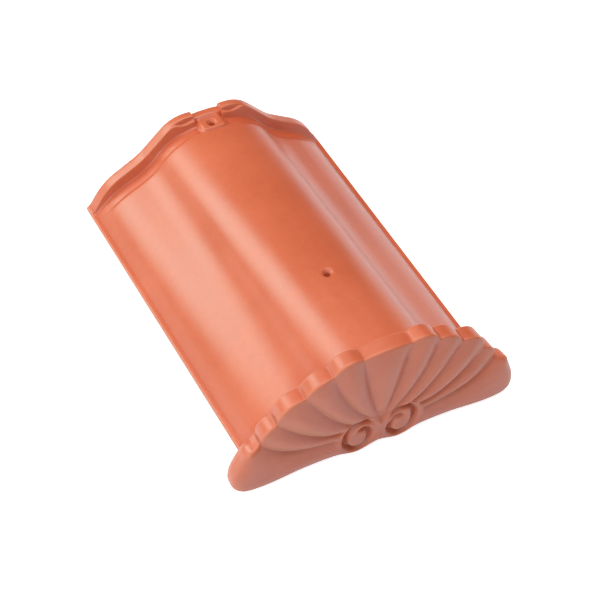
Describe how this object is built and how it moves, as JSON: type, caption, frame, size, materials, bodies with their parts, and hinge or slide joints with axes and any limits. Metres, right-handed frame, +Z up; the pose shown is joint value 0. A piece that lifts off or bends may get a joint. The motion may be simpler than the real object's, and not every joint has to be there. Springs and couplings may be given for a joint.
{
  "type": "hip starter tile",
  "caption": "Clay hip starter tile: a tapering three-lobed cover closed at its lower end by a scallop-shell plate with two scrolls, with a split rear rim and nail holes.",
  "frame": {"origin": "middle of the underside of the bounding box, on the surface the tile lies on", "axes": "+Z up, -Y out of the shell plate towards the eaves, +Y along the cover to its rear rim, X across the tile"},
  "size_m": [0.3284, 0.4252, 0.1554],
  "materials": {
    "terracotta": "fired clay with a smooth, slightly satin orange-red engobe"
  },
  "bodies": {
    "root": {"hip_starter_tile": "terracotta"}
  },
  "joints": []
}
